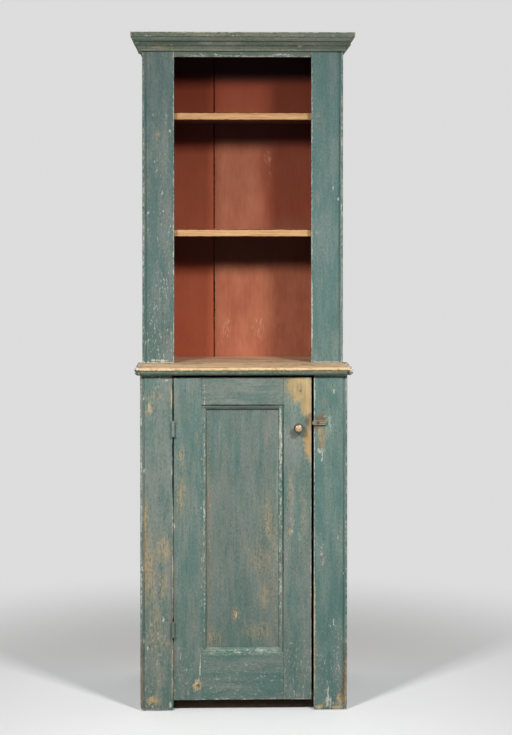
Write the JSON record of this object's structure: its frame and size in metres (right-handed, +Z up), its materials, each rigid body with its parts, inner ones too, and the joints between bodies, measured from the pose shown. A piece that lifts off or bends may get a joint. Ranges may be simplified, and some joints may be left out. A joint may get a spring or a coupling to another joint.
{
  "type": "step-back cupboard",
  "caption": "Tall narrow step-back cupboard: open shelved upper case with a cornice, on a deeper lower case with a panelled door, knob and turn button.",
  "frame": {"origin": "on the floor, under the middle of the overall box", "axes": "+X to the right along the front, +Y to the back, +Z up"},
  "size_m": [0.65, 0.4486, 1.93],
  "materials": {
    "green_paint": "worn matte paint",
    "cornice_paint": "worn matte paint",
    "red_wash": "thin matte wash",
    "bare_pine": "bare",
    "worn_pine": "worn bare",
    "turned_wood": "handled satin",
    "iron": "painted over"
  },
  "bodies": {
    "case": {"left_side": "green_paint", "right_side": "green_paint", "case_top": "bare_pine", "case_bottom": "bare_pine", "back_board_left": "red_wash", "back_board_right": "red_wash", "upper_left_stile": "green_paint", "upper_right_stile": "green_paint", "frieze_rail": "green_paint", "lower_left_stile": "green_paint", "lower_right_stile": "green_paint", "waist_board_front": "worn_pine", "waist_board_rear": "worn_pine", "upper_shelf": "bare_pine", "middle_shelf": "bare_pine", "lower_shelf": "bare_pine", "cornice_front": "cornice_paint", "cornice_left_return": "cornice_paint", "cornice_right_return": "cornice_paint", "upper_hinge_frame_leaf": "iron", "lower_hinge_frame_leaf": "iron", "upper_hinge_pin": "iron", "lower_hinge_pin": "iron", "button_screw": "iron"},
    "door": {"door_hinge_stile": "green_paint", "door_latch_stile": "green_paint", "door_top_rail": "green_paint", "door_bottom_rail": "green_paint", "door_panel": "green_paint", "door_peg_top_left": "green_paint", "door_peg_top_right": "green_paint", "door_peg_bottom_left": "green_paint", "door_peg_bottom_right": "green_paint", "door_knob": "turned_wood", "upper_hinge_door_leaf": "iron", "lower_hinge_door_leaf": "iron"},
    "turn_button": {"turn_button": "turned_wood"}
  },
  "joints": [
    {"name": "door_swing", "type": "hinge", "parent": "case", "child": "door", "pos_m": [-0.19975, -0.2028, 0.5], "axis": [0, 0, -1], "range_deg": [0, 180]},
    {"name": "button_turn", "type": "hinge", "parent": "case", "child": "turn_button", "pos_m": [0.2085, -0.2, 0.814], "axis": [0, -1, 0], "continuous": true}
  ]
}
